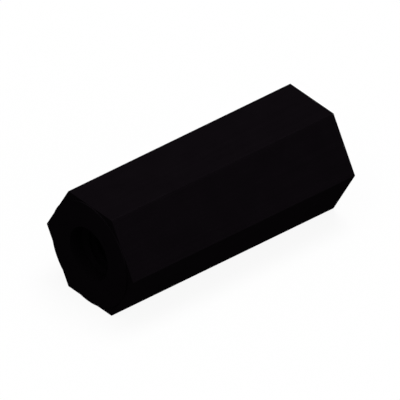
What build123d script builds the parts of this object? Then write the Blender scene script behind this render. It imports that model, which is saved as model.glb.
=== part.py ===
from build123d import *

import os
from math import radians, tan

# A hexagonal standoff lying on one of its flats, with a thread right through it.
# Its axis is X and Z is up. The origin is on the surface that it lies on, under its middle.
# The near end, at -X, has a thin round bearing face, and the far end is plain.

# Driving dimensions in millimetres, and the one angle in degrees
across_flats = 6.0
overall_length = 15.0
edge_radius = 0.05
far_end_break = 0.02
bearing_face_height = 0.08
bearing_face_inset = 0.005
bearing_rim_radius = 0.01
thread_diameter = 3.0
thread_pitch = 0.5
lead_in_margin = 0.02
lead_in_depth = 0.8
lead_in_cone_angle = 90.0

# Stations along the axis
near_end_x = -overall_length / 2
far_end_x = overall_length / 2
shoulder_x = near_end_x + bearing_face_height

# The bearing face stops just inside the flats, so that it clears a spanner
bearing_radius = across_flats / 2 - bearing_face_inset

# The hole is drilled to tapping size. At each end a plain lead-in, just wider than the thread, keeps its
# first turn back from the face, and a cone joins the two.
tapping_radius = (thread_diameter - thread_pitch) / 2
lead_in_radius = thread_diameter / 2 + lead_in_margin
cone_depth = (lead_in_radius - tapping_radius) / tan(radians(lead_in_cone_angle / 2))

# How far a cutting tool runs past the end that it cuts
tool_overrun = thread_pitch


def hexagonal_bar():
    """The bar from the shoulder behind the bearing face to the far end, its long edges rounded."""
    with BuildPart() as bar:
        with BuildSketch(Plane.YZ.offset(shoulder_x)) as section:
            RegularPolygon(radius=across_flats / 2, side_count=6, major_radius=False)
            fillet(section.vertices(), radius=edge_radius)
        extrude(amount=far_end_x - shoulder_x)
        far_end = bar.faces().sort_by(Axis.X)[-1]
        chamfer(far_end.edges(), length=far_end_break)
    return bar.part


def bearing_face():
    """The round face that stands proud of the near end, rooted as deep in the bar as it stands out."""
    with BuildPart() as disc:
        with BuildSketch(Plane.YZ.offset(near_end_x)):
            Circle(bearing_radius)
        extrude(amount=2 * bearing_face_height)
        rim = disc.edges().filter_by(GeomType.CIRCLE).sort_by(Axis.X)[0]
        fillet(rim, radius=bearing_rim_radius)
    return disc.part


def tapping_hole():
    """What the drill and the two lead-in cutters take out, turned about the axis."""
    with BuildPart() as hole:
        with BuildSketch(Plane.XZ):
            with BuildLine():
                Polyline(
                    (near_end_x - tool_overrun, 0),
                    (near_end_x - tool_overrun, lead_in_radius),
                    (near_end_x + lead_in_depth, lead_in_radius),
                    (near_end_x + lead_in_depth + cone_depth, tapping_radius),
                    (far_end_x - lead_in_depth - cone_depth, tapping_radius),
                    (far_end_x - lead_in_depth, lead_in_radius),
                    (far_end_x + tool_overrun, lead_in_radius),
                    (far_end_x + tool_overrun, 0),
                    close=True,
                )
            make_face()
        revolve(axis=Axis.X)
    return hole.part


def hex_standoff():
    """The whole standoff as one solid, raised so that its lower flat lies at height zero."""
    on_axis = hexagonal_bar() + bearing_face() - tapping_hole()
    return Pos(0, 0, across_flats / 2) * on_axis.solid()


os.makedirs("parts", exist_ok=True)
export_step(hex_standoff(), "parts/hex_standoff.step")
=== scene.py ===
"""A hex standoff in black nylon, lying on one of its flats on a pale floor.

The bar, its round bearing face and its tapped hole are cut in one piece of nylon, so they are one closed
mesh. It stands for the plain solid of the part, keeps its size and place, and adds the turns of the thread.
Everything is in metres. The axis of the bar is X, its near end is at -X, and Z is up.
"""

import logging
import math
from dataclasses import dataclass
from enum import Enum, IntEnum

import bmesh
import bpy
import numpy as np
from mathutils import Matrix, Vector


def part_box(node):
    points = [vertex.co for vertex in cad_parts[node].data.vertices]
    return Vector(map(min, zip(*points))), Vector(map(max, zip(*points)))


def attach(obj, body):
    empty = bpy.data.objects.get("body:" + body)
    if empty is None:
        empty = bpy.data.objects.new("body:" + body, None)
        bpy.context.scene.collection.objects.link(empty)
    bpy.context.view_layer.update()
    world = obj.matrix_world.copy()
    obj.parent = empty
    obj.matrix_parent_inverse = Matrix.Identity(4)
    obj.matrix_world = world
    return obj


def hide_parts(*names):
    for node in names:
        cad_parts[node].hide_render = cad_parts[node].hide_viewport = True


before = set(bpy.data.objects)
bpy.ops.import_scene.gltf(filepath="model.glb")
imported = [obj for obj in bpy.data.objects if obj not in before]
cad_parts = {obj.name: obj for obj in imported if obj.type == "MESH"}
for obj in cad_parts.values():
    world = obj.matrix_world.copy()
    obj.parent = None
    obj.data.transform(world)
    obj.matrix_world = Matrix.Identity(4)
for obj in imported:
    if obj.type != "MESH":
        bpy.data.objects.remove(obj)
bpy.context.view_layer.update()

MM = 0.001
FULL_TURN = 2 * math.pi
STANDOFF_NODE = "hex_standoff"
STANDOFF_PIECE = "threaded_hex_body"
WHITE = (1.0, 1.0, 1.0, 1.0)

# Blender's noise seldom leaves this range
NOISE_RANGE = (0.3, 0.7)

Colour = tuple[float, float, float]
Socket = bpy.types.NodeSocket
Feed = Socket | float | tuple[float, ...]

log = logging.getLogger(STANDOFF_NODE)


class Region(IntEnum):
    """The surfaces of the standoff that carry a finish of their own, in the order of the mesh's materials.

    The end faces take in the bearing face and the lead-ins of the hole.
    """

    FLATS = 0
    END_FACES = 1
    THREAD = 2


class Cut(IntEnum):
    """The cuts that make the hole, each of which lies deeper in it than the one before."""

    LEAD_IN = 0
    CONE = 1
    THREAD = 2


class ToolMarks(Enum):
    """Which way the tool left its fine lines in the nylon."""

    ALONG = "along the bar, from the die that it was drawn through"
    ROUND = "round the axis, from the facing tool"
    HELICAL = "along the turns of the thread, from the tap"


class NodeBench:
    """A material's or the world's node tree, with short calls to add nodes to it and join them."""

    def __init__(self, tree: bpy.types.NodeTree) -> None:
        """Takes over a node tree and clears it."""
        self.tree = tree
        tree.nodes.clear()

    def add(self, kind: str, **settings: object) -> bpy.types.Node:
        """Adds one node.

        Args:
            kind: Blender's name for the kind of node.
            **settings: Properties of the node, such as operation.

        Returns:
            The new node.
        """
        node = self.tree.nodes.new(kind)
        for name, value in settings.items():
            setattr(node, name, value)
        return node

    def put(self, value: Feed, socket: Socket) -> None:
        """Feeds a socket from another socket, or sets its own value.

        Args:
            value: An output socket, or a plain number, vector or colour.
            socket: The input socket that takes it.
        """
        if isinstance(value, Socket):
            self.tree.links.new(value, socket)
        else:
            socket.default_value = value

    def maths(self, operation: str, *values: Feed, clamp: bool = False) -> Socket:
        """Works out one number from others.

        Args:
            operation: Blender's name for the sum, such as MULTIPLY.
            *values: Its numbers, or the sockets that give them.
            clamp: Whether the result is kept from 0 to 1.

        Returns:
            The socket that gives the result.
        """
        node = self.add("ShaderNodeMath", operation=operation, use_clamp=clamp)
        for value, socket in zip(values, node.inputs):
            self.put(value, socket)
        return node.outputs["Value"]

    def span(self, value: Feed, low: float, high: float, to_low: float, to_high: float) -> Socket:
        """Carries a number from one range to another, with soft ends.

        Args:
            value: The number, or the socket that gives it.
            low: Where the first range starts.
            high: Where the first range ends.
            to_low: Where the second range starts.
            to_high: Where the second range ends.

        Returns:
            The socket that gives the result.
        """
        node = self.add("ShaderNodeMapRange", interpolation_type="SMOOTHSTEP")
        numbers = {"Value": value, "From Min": low, "From Max": high, "To Min": to_low, "To Max": to_high}
        for name, number in numbers.items():
            self.put(number, node.inputs[name])
        return node.outputs["Result"]

    def noise(self, place: Feed, size: float, detail: float = 2.0, line: bool = False) -> Socket:
        """Adds noise with blots or stripes of about a given size.

        Args:
            place: The socket that gives the place in metres: a point, or one number where line is set.
            size: The size of a blot or the spacing of the stripes, in metres.
            detail: How many finer layers it has.
            line: Whether the noise runs along one number only.

        Returns:
            The socket that gives the noise, about 0.5 in the middle.
        """
        node = self.add("ShaderNodeTexNoise", noise_dimensions="1D" if line else "3D")
        node.inputs["Scale"].default_value = 1 / size
        node.inputs["Detail"].default_value = detail
        self.put(place, node.inputs["W" if line else "Vector"])
        return node.outputs["Fac"]

    def seen_directly(self) -> Socket:
        """Tells what the eye, a reflection or a clear material shows from what only lights surfaces.

        Returns:
            A socket that gives 1 for what is shown and 0 for the rest.
        """
        path = self.add("ShaderNodeLightPath").outputs
        shown = self.maths("ADD", path["Is Camera Ray"], path["Is Glossy Ray"], clamp=True)
        return self.maths("ADD", shown, path["Is Transmission Ray"], clamp=True)


@dataclass(frozen=True)
class PlaceOnBar:
    """Where a point of the surface lies: the point itself, and its distances from the bar's axis."""

    point: Socket
    along: Socket
    across: Socket
    up: Socket
    radius: Socket

    @classmethod
    def read(cls, bench: NodeBench, axis_height: float) -> "PlaceOnBar":
        """Adds the nodes that work the place out in the frame of the part.

        Args:
            bench: The material's nodes.
            axis_height: The height of the axis.

        Returns:
            The place, as sockets.
        """
        point = bench.add("ShaderNodeTexCoord").outputs["Object"]
        split = bench.add("ShaderNodeSeparateXYZ")
        bench.put(point, split.inputs["Vector"])
        along, across = split.outputs["X"], split.outputs["Y"]
        up = bench.maths("SUBTRACT", split.outputs["Z"], axis_height)
        squares = [bench.maths("MULTIPLY", distance, distance) for distance in (across, up)]
        radius = bench.maths("SQRT", bench.maths("ADD", *squares))
        return cls(point, along, across, up, radius)


@dataclass(frozen=True)
class HexSection:
    """The bar's section: corners at both sides, flats above and below, and rounded edges."""

    across_flats: float
    edge_radius: float = 0.05 * MM
    sides: int = 6
    arc_steps: int = 4
    flat_steps: int = 16

    @property
    def axis_height(self) -> float:
        """The height of the axis above the flat that the bar lies on."""
        return self.across_flats / 2

    @property
    def side_turn(self) -> float:
        """The angle between one flat and the next."""
        return FULL_TURN / self.sides

    @property
    def rounding_radius(self) -> float:
        """How far from the axis the rounding of each long edge has its centre."""
        return (self.across_flats / 2 - self.edge_radius) / math.cos(self.side_turn / 2)

    @property
    def corner_radius(self) -> float:
        """How far from the axis the rounded long edges lie."""
        return self.rounding_radius + self.edge_radius

    def outline(self, inset: float = 0.0) -> np.ndarray:
        """Walks round the section from its +Y corner towards +Z.

        Args:
            inset: How far the whole outline is moved in, less than the edge radius.

        Returns:
            One row of (across, up) for each column of the mesh.
        """
        corners = self.side_turn * np.arange(self.sides)[:, None]
        turns = corners + self.side_turn * np.linspace(-0.5, 0.5, self.arc_steps + 1)
        centres = self.rounding_radius * np.stack([np.cos(corners), np.sin(corners)], axis=-1)
        arcs = centres + (self.edge_radius - inset) * np.stack([np.cos(turns), np.sin(turns)], axis=-1)
        starts = arcs[:, -1:]
        ends = np.roll(arcs[:, :1], -1, axis=0)
        shares = np.linspace(0.0, 1.0, self.flat_steps + 1)[1:-1, None]
        flats = starts + (ends - starts) * shares
        return np.concatenate([arcs, flats], axis=1).reshape(-1, 2)

    def bearings(self) -> np.ndarray:
        """The angle of each column about the axis, always growing, in radians."""
        across, up = self.outline().T
        return np.unwrap(np.arctan2(up, across))


@dataclass(frozen=True)
class BearingFace:
    """The thin round face that stands proud of the bar's near end, inside its flats, with a rounded rim."""

    height: float = 0.08 * MM
    inset: float = 0.005 * MM
    rim_radius: float = 0.01 * MM
    rim_steps: int = 4

    def rim(self, across_flats: float) -> list[tuple[float, float]]:
        """Follows the face from the inner edge of its rim to the foot of its side.

        Args:
            across_flats: The size of the bar that it stands on.

        Returns:
            Pairs of depth behind the face and radius.
        """
        radius = across_flats / 2 - self.inset
        turns = [math.pi / 2 * step / self.rim_steps for step in range(self.rim_steps + 1)]
        rounding = [
            (self.rim_radius * (1 - math.cos(turn)), radius - self.rim_radius * (1 - math.sin(turn)))
            for turn in turns
        ]
        return [*rounding, (self.height, radius)]


@dataclass(frozen=True)
class HoleWall:
    """The wall of the hole as a grid of points, whose rows climb one pitch in a full turn of its columns."""

    x: np.ndarray
    radius: np.ndarray
    cut: np.ndarray
    pitch_rows: int


@dataclass(frozen=True)
class TappedHole:
    """The right-hand thread that is cut through the bar, behind a plain lead-in and a cone at each mouth.

    Its winding starts spare_pitches before the near mouth and ends as far past the other. What lies beyond a
    mouth, or within shortest_step of it, is drawn in to the mouth's own points.
    """

    diameter: float = 3.0 * MM
    pitch: float = 0.5 * MM
    flank_angle: float = math.radians(60)
    lead_in_margin: float = 0.02 * MM
    lead_in_depth: float = 0.8 * MM
    lead_in_cone_angle: float = math.radians(90)
    root_share: float = 1 / 8
    crest_rounding: float = 0.015 * MM
    crest_steps: int = 2
    root_steps: int = 4
    shortest_step: float = 0.004 * MM
    same_place: float = 1e-6 * MM
    spare_pitches: int = 2

    @property
    def drill_radius(self) -> float:
        """The radius of the drilled hole, where the crests of the thread lie."""
        return (self.diameter - self.pitch) / 2

    @property
    def mouth_radius(self) -> float:
        """The radius of the lead-in, which is just wider than the thread."""
        return self.diameter / 2 + self.lead_in_margin

    def profile(self) -> tuple[np.ndarray, np.ndarray]:
        """Draws one pitch of the thread, from crest to crest, with its root rounded and its crests eased.

        Beyond the root the flanks would meet after root_share of their full height.

        Returns:
            The distance along the axis of each point, within one pitch, and its radius.
        """
        half_angle = self.flank_angle / 2
        lean = math.pi / 2 - half_angle
        flank_height = self.pitch / (2 * math.tan(half_angle))
        root_rounding = flank_height * self.root_share
        root_centre = self.diameter / 2 - root_rounding
        sharp_radius = root_centre + root_rounding / math.sin(half_angle)
        crest_corner = (sharp_radius - self.drill_radius) * math.tan(half_angle)
        crest_centre = crest_corner + self.crest_rounding * math.tan(lean / 2)

        crest = [
            (
                crest_centre - self.crest_rounding * math.sin(turn),
                self.drill_radius + self.crest_rounding * (1 - math.cos(turn)),
            )
            for turn in np.linspace(0.0, lean, self.crest_steps + 1)
        ]
        root = [
            (-root_rounding * math.sin(turn), root_centre + root_rounding * math.cos(turn))
            for turn in np.linspace(-lean, 0.0, self.root_steps // 2 + 1)
        ]
        flank_middle = tuple(np.mean([crest[-1], root[0]], axis=0))
        offsets, radii = np.array([*crest, flank_middle, *root]).T
        places = np.concatenate([self.pitch / 2 - offsets, self.pitch / 2 + offsets[-2::-1]])
        return places, np.concatenate([radii, radii[-2::-1]])

    def lead_in(self, x: np.ndarray, near_x: float, far_x: float) -> np.ndarray:
        """The radius of whichever lead-in is nearer, whose cone falls below the drilled hole between them.

        Args:
            x: Places along the axis.
            near_x: Where the near mouth is.
            far_x: Where the far mouth is.

        Returns:
            A radius for each place.
        """
        slope = math.tan(self.lead_in_cone_angle / 2)
        depth = np.minimum(x - near_x, far_x - x)
        return self.mouth_radius - np.maximum(depth - self.lead_in_depth, 0.0) * slope

    def wall(self, bearings: np.ndarray, near_x: float, far_x: float) -> HoleWall:
        """Winds the profile up the hole, and lets each lead-in cut into it.

        Every row of the grid climbs one pitch in a full turn, so its last column meets the first column of
        the row that is a pitch further on. A row that would leave the hole has its points beyond the mouths.

        Args:
            bearings: The angle of each column about the axis.
            near_x: Where the near mouth is.
            far_x: Where the far mouth is.

        Returns:
            The wall, in which a point on an edge between two cuts counts as the outer one's.
        """
        places, radii = self.profile()
        pitches = math.ceil((far_x - near_x) / self.pitch)
        starts = near_x + self.pitch * np.arange(-self.spare_pitches, pitches + self.spare_pitches)
        climb = (starts[:, None] + places).reshape(-1, 1) + self.pitch * bearings / FULL_TURN
        thread = np.repeat(np.tile(radii, len(starts))[:, None], len(bearings), axis=1)
        x = self._meet(climb, thread - self.lead_in(climb, near_x, far_x))
        for cone_start in (near_x + self.lead_in_depth, far_x - self.lead_in_depth):
            x = self._meet(x, x - cone_start)
        opened = self.lead_in(x, near_x, far_x)
        tapped = (x == climb) & (thread > opened)
        coned = opened < self.mouth_radius - self.same_place
        cut = np.where(tapped, Cut.THREAD, np.where(coned, Cut.CONE, Cut.LEAD_IN))
        return HoleWall(x, np.where(tapped, thread, opened), cut, len(places))

    def _meet(self, x: np.ndarray, above: np.ndarray) -> np.ndarray:
        """Moves the nearest point of each column to the edge where two surfaces meet.

        Args:
            x: Places along the axis, by row and column.
            above: How far one surface lies above the other at each of them, which is nothing at the edge.

        Returns:
            The places along the axis with those points moved.
        """
        moved = x.copy()
        row, column = np.nonzero(above[:-1] * above[1:] < 0)
        share = above[row, column] / (above[row, column] - above[row + 1, column])
        meeting = x[row, column] + share * (x[row + 1, column] - x[row, column])
        moved[row + (share > 0.5), column] = meeting
        return moved


@dataclass(frozen=True)
class NylonFinish:
    """Matte black nylon, mottled a little, with the fine lines that its tool left in it."""

    name: str
    marks: ToolMarks
    marks_spacing: float
    marks_depth: float
    marks_stretch: float = 80.0
    colour: Colour = (0.0045, 0.0034, 0.0045)
    mottle: float = 0.05
    mottle_size: float = 1.4 * MM
    streak: float = 0.04
    grain_size: float = 0.11 * MM
    grain_depth: float = 0.0003 * MM
    smoothest: float = 0.60
    roughest: float = 0.80
    gloss: float = 0.0
    worn_width: float = 0.08 * MM
    worn_lightening: float = 0.08

    def material(self, section: HexSection, thread_pitch: float) -> bpy.types.Material:
        """Builds the material.

        Args:
            section: The section of the bar that it goes on.
            thread_pitch: The pitch that helical marks follow.

        Returns:
            The finished material.
        """
        made = bpy.data.materials.new(self.name)
        made.use_nodes = True
        made.diffuse_color = (*self.colour, 1.0)
        bench = NodeBench(made.node_tree)
        place = PlaceOnBar.read(bench, section.axis_height)
        lines = self._lines(bench, place, thread_pitch)
        mottling = bench.noise(place.point, self.mottle_size, detail=3.0)
        grain = bench.noise(place.point, self.grain_size, detail=4.0)

        shader = bench.add("ShaderNodeBsdfPrincipled")
        shader.inputs["Specular IOR Level"].default_value = self.gloss
        mottled = self._mottled(bench, mottling, lines)
        shade = bench.maths("MULTIPLY", mottled, self._worn(bench, place, section))
        bench.put(self._colour(bench, shade), shader.inputs["Base Color"])
        bench.put(self._roughness(bench, grain, lines), shader.inputs["Roughness"])
        bench.put(self._relief(bench, grain, lines), shader.inputs["Normal"])
        output = bench.add("ShaderNodeOutputMaterial")
        bench.put(shader.outputs["BSDF"], output.inputs["Surface"])
        return made

    def _lines(self, bench: NodeBench, place: PlaceOnBar, thread_pitch: float) -> Socket:
        """Makes the tool's fine lines.

        Args:
            bench: The material's nodes.
            place: Where the surface lies.
            thread_pitch: The pitch that helical marks follow.

        Returns:
            The socket that gives the lines, about 0.5 in the middle.
        """
        if self.marks is ToolMarks.ALONG:
            stretch = bench.add("ShaderNodeMapping")
            stretch.inputs["Scale"].default_value = (1 / self.marks_stretch, 1.0, 1.0)
            bench.put(place.point, stretch.inputs["Vector"])
            return bench.noise(stretch.outputs["Vector"], self.marks_spacing, detail=3.0)
        if self.marks is ToolMarks.ROUND:
            return bench.noise(place.radius, self.marks_spacing, line=True)
        turn = bench.maths("ARCTAN2", place.up, place.across)
        lead = bench.maths("MULTIPLY", turn, thread_pitch / FULL_TURN)
        return bench.noise(bench.maths("SUBTRACT", place.along, lead), self.marks_spacing, line=True)

    def _mottled(self, bench: NodeBench, mottling: Socket, lines: Socket) -> Socket:
        """Works out how much lighter or darker the blots and the tool's lines make the nylon.

        Args:
            bench: The material's nodes.
            mottling: Noise in broad blots.
            lines: The tool's lines.

        Returns:
            The socket that gives a factor about 1.
        """
        blots = bench.span(mottling, *NOISE_RANGE, 1 - self.mottle, 1 + self.mottle)
        streaks = bench.span(lines, *NOISE_RANGE, 1 - self.streak, 1 + self.streak)
        return bench.maths("MULTIPLY", blots, streaks)

    def _worn(self, bench: NodeBench, place: PlaceOnBar, section: HexSection) -> Socket:
        """Works out how much paler the rubbed long edges are, as a factor that is 1 away from them."""
        start = section.corner_radius - self.worn_width
        return bench.span(place.radius, start, section.corner_radius, 1.0, 1 + self.worn_lightening)

    def _colour(self, bench: NodeBench, shade: Socket) -> Socket:
        """Multiplies the nylon's colour by a factor.

        Args:
            bench: The material's nodes.
            shade: The factor.

        Returns:
            The socket that gives the colour.
        """
        scale = bench.add("ShaderNodeVectorMath", operation="SCALE")
        scale.inputs["Vector"].default_value = self.colour
        bench.put(shade, scale.inputs["Scale"])
        return scale.outputs["Vector"]

    def _roughness(self, bench: NodeBench, grain: Socket, lines: Socket) -> Socket:
        """Works out the roughness, which follows the grain and the tool's lines alike."""
        both = bench.maths("MULTIPLY", bench.maths("ADD", grain, lines), 0.5)
        return bench.span(both, *NOISE_RANGE, self.smoothest, self.roughest)

    def _relief(self, bench: NodeBench, grain: Socket, lines: Socket) -> Socket:
        """Raises the lines and the grain by their real depths.

        Args:
            bench: The material's nodes.
            grain: Fine noise.
            lines: The tool's lines.

        Returns:
            The socket that gives the surface's direction.
        """
        line_height = bench.maths("MULTIPLY", lines, self.marks_depth / MM)
        grain_height = bench.maths("MULTIPLY", grain, self.grain_depth / MM)
        bump = bench.add("ShaderNodeBump")
        bump.inputs["Strength"].default_value = 1.0
        bump.inputs["Distance"].default_value = MM
        bench.put(bench.maths("ADD", line_height, grain_height), bump.inputs["Height"])
        return bump.outputs["Normal"]


DRAWN_FLATS = NylonFinish(
    "black_nylon_drawn", ToolMarks.ALONG, marks_spacing=0.16 * MM, marks_depth=0.0008 * MM
)
FACED_ENDS = NylonFinish(
    "black_nylon_faced", ToolMarks.ROUND, marks_spacing=0.09 * MM, marks_depth=0.0004 * MM
)
TAPPED_THREAD = NylonFinish(
    "black_nylon_tapped", ToolMarks.HELICAL, marks_spacing=0.05 * MM, marks_depth=0.0004 * MM
)
FINISHES = {Region.FLATS: DRAWN_FLATS, Region.END_FACES: FACED_ENDS, Region.THREAD: TAPPED_THREAD}


@dataclass
class StandoffBody:
    """The whole standoff as one mesh: the bar, its bearing face, its broken far end and its tapped hole."""

    near_x: float
    far_x: float
    section: HexSection
    bearing_face: BearingFace
    hole: TappedHole
    far_end_break: float = 0.02 * MM
    sharpest_smooth_turn: float = math.radians(38)

    def _ring(self, x: float, outline: np.ndarray) -> np.ndarray:
        """Places an outline, rows of (across, up), square to the axis at x, as rows of (x, y, z)."""
        across, up = outline.T
        return np.column_stack([np.full(len(outline), x), across, up + self.section.axis_height])

    def _circle(self, radius: float) -> np.ndarray:
        """Draws a circle about the axis, as one row of (across, up) for each column of the mesh."""
        bearings = self.section.bearings()
        return radius * np.column_stack([np.cos(bearings), np.sin(bearings)])

    def outer_rings(self) -> list[tuple[np.ndarray, Region]]:
        """Follows the outside from the near mouth, over the bearing face and the flats, to the far mouth.

        Returns:
            Each ring of points, with the region that the strip behind it belongs to.
        """
        mouth = self._circle(self.hole.mouth_radius)
        rings = [(self._ring(self.near_x, mouth), Region.END_FACES)]
        for depth, radius in self.bearing_face.rim(self.section.across_flats):
            rings.append((self._ring(self.near_x + depth, self._circle(radius)), Region.END_FACES))
        shoulder_x = self.near_x + self.bearing_face.height
        rings.append((self._ring(shoulder_x, self.section.outline()), Region.END_FACES))
        rings.append((self._ring(self.far_x - self.far_end_break, self.section.outline()), Region.FLATS))
        rings.append((self._ring(self.far_x, self.section.outline(self.far_end_break)), Region.FLATS))
        rings.append((self._ring(self.far_x, mouth), Region.END_FACES))
        return rings

    def _outside(self) -> tuple[np.ndarray, np.ndarray, list[Region]]:
        """Builds the outer skin.

        Returns:
            Its points, its faces as rows of four point numbers, and the region of each face.
        """
        rings = self.outer_rings()
        points = np.concatenate([ring for ring, region in rings])
        columns = len(rings[0][0])
        numbers = np.arange(len(points)).reshape(-1, columns)
        nexts = np.roll(numbers, -1, axis=1)
        faces = np.stack([numbers[:-1], nexts[:-1], nexts[1:], numbers[1:]], axis=-1).reshape(-1, 4)
        regions = [region for ring, region in rings[1:] for column in range(columns)]
        return points, faces, regions

    def _inside(
        self, near_mouth: np.ndarray, far_mouth: np.ndarray, first: int
    ) -> tuple[np.ndarray, list[list[int]], list[Region]]:
        """Builds the wall of the hole between its two mouths.

        Args:
            near_mouth: The numbers of the points round the near mouth.
            far_mouth: The numbers of the points round the far mouth.
            first: The number that the first new point takes.

        Returns:
            The new points, the faces as lists of point numbers, in which a number may stand twice, and the
            region of each face.
        """
        bearings = self.section.bearings()
        wall = self.hole.wall(bearings, self.near_x, self.far_x)
        before = wall.x < self.near_x + self.hole.shortest_step
        beyond = wall.x > self.far_x - self.hole.shortest_step
        within = ~(before | beyond)
        numbers = np.where(before, near_mouth, far_mouth)
        numbers[within] = first + np.arange(np.count_nonzero(within))
        across = wall.radius * np.cos(bearings)
        up = wall.radius * np.sin(bearings) + self.section.axis_height
        points = np.column_stack([wall.x[within], across[within], up[within]])
        corners = self._wound_corners(numbers, wall.pitch_rows)
        cuts = self._wound_corners(wall.cut, wall.pitch_rows)
        return points, *self._creased(corners, cuts)

    def _creased(self, corners: np.ndarray, cuts: np.ndarray) -> tuple[list[list[int]], list[Region]]:
        """Splits each face of which one corner lies on a deeper cut, so that an edge runs along the crease.

        Args:
            corners: The point numbers of each face of the wall.
            cuts: The cut that each of those points lies on.

        Returns:
            The faces as lists of point numbers, and the region of each.
        """
        deepest = cuts.max(axis=1)
        alone = cuts == deepest[:, None]
        split = alone.sum(axis=1) == 1
        order = (np.argmax(alone[split], axis=1)[:, None] + np.arange(4)) % 4
        turned = np.take_along_axis(corners[split], order, axis=1)
        faces = [*corners[~split].tolist(), *turned[:, [0, 1, 3]].tolist(), *turned[:, 1:].tolist()]
        inner = [*deepest[~split].tolist(), *deepest[split].tolist()]
        regions = [Region.THREAD if cut == Cut.THREAD else Region.END_FACES for cut in inner]
        return faces, [*regions, *[Region.END_FACES] * len(turned)]

    def _wound_corners(self, grid: np.ndarray, pitch_rows: int) -> np.ndarray:
        """Gathers what a grid that winds up the hole says at the corners of each of its faces.

        Args:
            grid: One value for each row and column.
            pitch_rows: How many rows the last column lies below the first.

        Returns:
            One row of four values for each face.
        """
        here = grid[:-pitch_rows]
        beside = np.concatenate([here[:, 1:], grid[pitch_rows:, :1]], axis=1)
        return np.stack([here[:-1], here[1:], beside[1:], beside[:-1]], axis=-1).reshape(-1, 4)

    def mesh(self) -> bpy.types.Mesh:
        """Joins the outer skin and the wall of the hole into one closed mesh.

        Returns:
            The mesh, with a material place for each region.
        """
        skin, skin_faces, regions = self._outside()
        columns = len(self.section.bearings())
        near_mouth = np.arange(columns)
        far_mouth = len(skin) - columns + near_mouth
        wall, wall_faces, wall_regions = self._inside(near_mouth, far_mouth, len(skin))
        faces = [tuple(face) for face in skin_faces.tolist()]
        for face, region in zip(wall_faces, wall_regions):
            corners = tuple(dict.fromkeys(face))
            if len(corners) > 2:
                faces.append(corners)
                regions.append(region)
        made = bpy.data.meshes.new(STANDOFF_PIECE)
        made.from_pydata(np.concatenate([skin, wall]).tolist(), [], faces)
        made.polygons.foreach_set("material_index", regions)
        made.validate()
        self._shade(made)
        return made

    def _shade(self, mesh: bpy.types.Mesh) -> None:
        """Smooths the mesh, but for its sharp turns and the edges between two regions.

        Args:
            mesh: The mesh, with its materials' places set.
        """
        mesh.shade_smooth()
        mesh.set_sharp_from_angle(angle=self.sharpest_smooth_turn)
        shaped = bmesh.new()
        shaped.from_mesh(mesh)
        for edge in shaped.edges:
            if len({face.material_index for face in edge.link_faces}) > 1:
                edge.smooth = False
        shaped.to_mesh(mesh)
        shaped.free()

    def build(self) -> bpy.types.Object:
        """Makes the piece, dresses it and puts it in the frame in place of the plain solid.

        Returns:
            The finished piece.
        """
        piece = bpy.data.objects.new(STANDOFF_PIECE, self.mesh())
        bpy.context.scene.collection.objects.link(piece)
        for region in Region:
            piece.data.materials.append(FINISHES[region].material(self.section, self.hole.pitch))
        flat_shading = piece.modifiers.new("large_faces_lead", "WEIGHTED_NORMAL")
        flat_shading.keep_sharp = True
        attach(piece, "root")
        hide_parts(STANDOFF_NODE)
        return piece


@dataclass(frozen=True)
class Floor:
    """A pale floor that shows white where nothing shades it, and keeps the soft shadow of what lies on it.

    It lights the underside of what lies on it evenly, like the top of a light table.
    """

    width: float = 1.0
    drop: float = 0.001 * MM
    glow: float = 0.29
    shadow_share: float = 0.08

    def build(self) -> bpy.types.Object:
        """Makes the floor.

        Returns:
            The floor.
        """
        half = self.width / 2
        square = ((-half, -half), (half, -half), (half, half), (-half, half))
        corners = [(x, y, -self.drop) for x, y in square]
        mesh = bpy.data.meshes.new("pale_floor")
        mesh.from_pydata(corners, [], [(0, 1, 2, 3)])
        mesh.materials.append(self._material())
        floor = bpy.data.objects.new("pale_floor", mesh)
        bpy.context.scene.collection.objects.link(floor)
        return floor

    def _material(self) -> bpy.types.Material:
        """Mixes what the eye and reflections see, white with a soft shadow, with what lights other surfaces.

        Returns:
            The finished material.
        """
        made = bpy.data.materials.new("pale_floor")
        made.use_nodes = True
        bench = NodeBench(made.node_tree)
        white = bench.add("ShaderNodeEmission")
        thrown = bench.add("ShaderNodeEmission")
        thrown.inputs["Strength"].default_value = self.glow
        paint = bench.add("ShaderNodeBsdfDiffuse")
        for shader in (white, thrown, paint):
            shader.inputs["Color"].default_value = WHITE
        seen = bench.add("ShaderNodeMixShader")
        seen.inputs["Fac"].default_value = self.shadow_share
        bench.put(white.outputs["Emission"], seen.inputs[1])
        bench.put(paint.outputs["BSDF"], seen.inputs[2])
        choice = bench.add("ShaderNodeMixShader")
        bench.put(bench.seen_directly(), choice.inputs["Fac"])
        bench.put(thrown.outputs["Emission"], choice.inputs[1])
        bench.put(seen.outputs["Shader"], choice.inputs[2])
        output = bench.add("ShaderNodeOutputMaterial")
        bench.put(choice.outputs["Shader"], output.inputs["Surface"])
        return made


def direction(azimuth: float, elevation: float) -> Vector:
    """Points from the object to a lamp or a camera.

    Args:
        azimuth: Degrees round the object, 0 in front at -Y and 90 at +X.
        elevation: Degrees above the floor.

    Returns:
        A vector of length one.
    """
    turn = math.radians(azimuth)
    rise = math.radians(elevation)
    return Vector((math.sin(turn) * math.cos(rise), -math.cos(turn) * math.cos(rise), math.sin(rise)))


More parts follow.
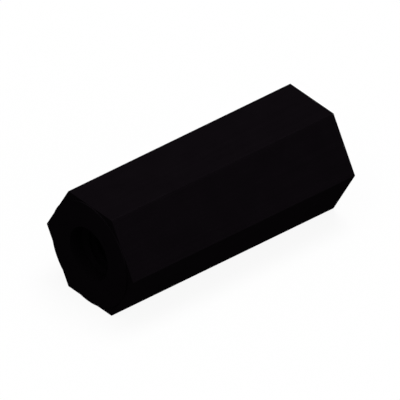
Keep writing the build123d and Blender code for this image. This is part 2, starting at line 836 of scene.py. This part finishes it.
@dataclass(frozen=True)
class Softbox:
    """A far lamp behind a wide diffuser, whose light falls evenly on everything.

    Alone, at a level of 1, it shows a surface that faces it in the surface's own colour.
    """

    name: str
    azimuth: float
    elevation: float
    spread: float
    level: float
    distance: float = 0.2

    def build(self) -> bpy.types.Object:
        """Makes the lamp.

        Returns:
            The lamp, aimed at the origin.
        """
        lamp = bpy.data.lights.new(self.name, "SUN")
        lamp.energy = self.level * math.pi
        lamp.angle = math.radians(self.spread)
        made = bpy.data.objects.new(self.name, lamp)
        towards = direction(self.azimuth, self.elevation)
        made.location = self.distance * towards
        made.rotation_mode = "QUATERNION"
        made.rotation_quaternion = (-towards).to_track_quat("-Z", "Y")
        bpy.context.scene.collection.objects.link(made)
        return made


@dataclass(frozen=True)
class PaleRoom:
    """The even light from all round, and the white that the eye and reflections see behind the object."""

    ambient: float

    def build(self) -> bpy.types.World:
        """Makes the world and puts it in the scene.

        Returns:
            The world.
        """
        world = bpy.data.worlds.new("pale_room")
        world.use_nodes = True
        bench = NodeBench(world.node_tree)
        light = bench.add("ShaderNodeBackground")
        light.inputs["Strength"].default_value = self.ambient
        white = bench.add("ShaderNodeBackground")
        white.inputs["Strength"].default_value = 1.0
        for background in (light, white):
            background.inputs["Color"].default_value = WHITE
        choice = bench.add("ShaderNodeMixShader")
        bench.put(bench.seen_directly(), choice.inputs["Fac"])
        bench.put(light.outputs["Background"], choice.inputs[1])
        bench.put(white.outputs["Background"], choice.inputs[2])
        output = bench.add("ShaderNodeOutputWorld")
        bench.put(choice.outputs["Shader"], output.inputs["Surface"])
        bpy.context.scene.world = world
        return world


@dataclass(frozen=True)
class PhotoCamera:
    """The camera of the photograph, which has no perspective and looks down on the near end."""

    azimuth: float = -40.0
    elevation: float = 35.264
    width_seen: float = 20.585 * MM
    object_right: float = 0.0227 * MM
    object_up: float = 0.0020 * MM
    distance: float = 60 * MM
    nearest_seen: float = 0.6 * MM
    furthest_seen: float = 6.0

    def build(self, centre: Vector) -> bpy.types.Object:
        """Makes the camera and gives it to the scene.

        Args:
            centre: The middle of the object's box.

        Returns:
            The camera.
        """
        data = bpy.data.cameras.new("photo_camera")
        data.type = "ORTHO"
        data.ortho_scale = self.width_seen
        data.clip_start = self.nearest_seen
        data.clip_end = self.furthest_seen
        camera = bpy.data.objects.new("photo_camera", data)
        back = direction(self.azimuth, self.elevation)
        turn = (-back).to_track_quat("-Z", "Y")
        offset = turn @ Vector((self.object_right, self.object_up, 0.0))
        camera.location = centre - offset + self.distance * back
        camera.rotation_mode = "QUATERNION"
        camera.rotation_quaternion = turn
        bpy.context.scene.collection.objects.link(camera)
        bpy.context.scene.camera = camera
        return camera


def main() -> None:
    """Builds the standoff, its floor, light and camera, and reports each of them."""
    logging.basicConfig(level=logging.INFO, format="%(name)s: %(message)s")
    bpy.context.scene.view_settings.view_transform = "Standard"
    lowest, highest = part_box(STANDOFF_NODE)
    body = StandoffBody(
        near_x=lowest.x,
        far_x=highest.x,
        section=HexSection(across_flats=highest.z - lowest.z),
        bearing_face=BearingFace(),
        hole=TappedHole(),
    )
    piece = body.build()
    log.info("%s has %d faces", piece.name, len(piece.data.polygons))
    floor = Floor()
    log.info("%s is %.2f m wide", floor.build().name, floor.width)
    PaleRoom(ambient=0.18).build()
    lamps = (
        Softbox("overhead_softbox", azimuth=100.0, elevation=76.0, spread=30.0, level=0.50),
        Softbox("near_end_softbox", azimuth=-60.0, elevation=70.0, spread=60.0, level=0.31),
        Softbox("low_front_softbox", azimuth=20.0, elevation=6.0, spread=60.0, level=0.18),
    )
    for lamp in lamps:
        log.info("%s is at level %.2f", lamp.build().name, lamp.level)
    camera = PhotoCamera().build((lowest + highest) / 2)
    log.info("%s sees %.2f mm", camera.name, camera.data.ortho_scale / MM)


if __name__ == "__main__":
    main()
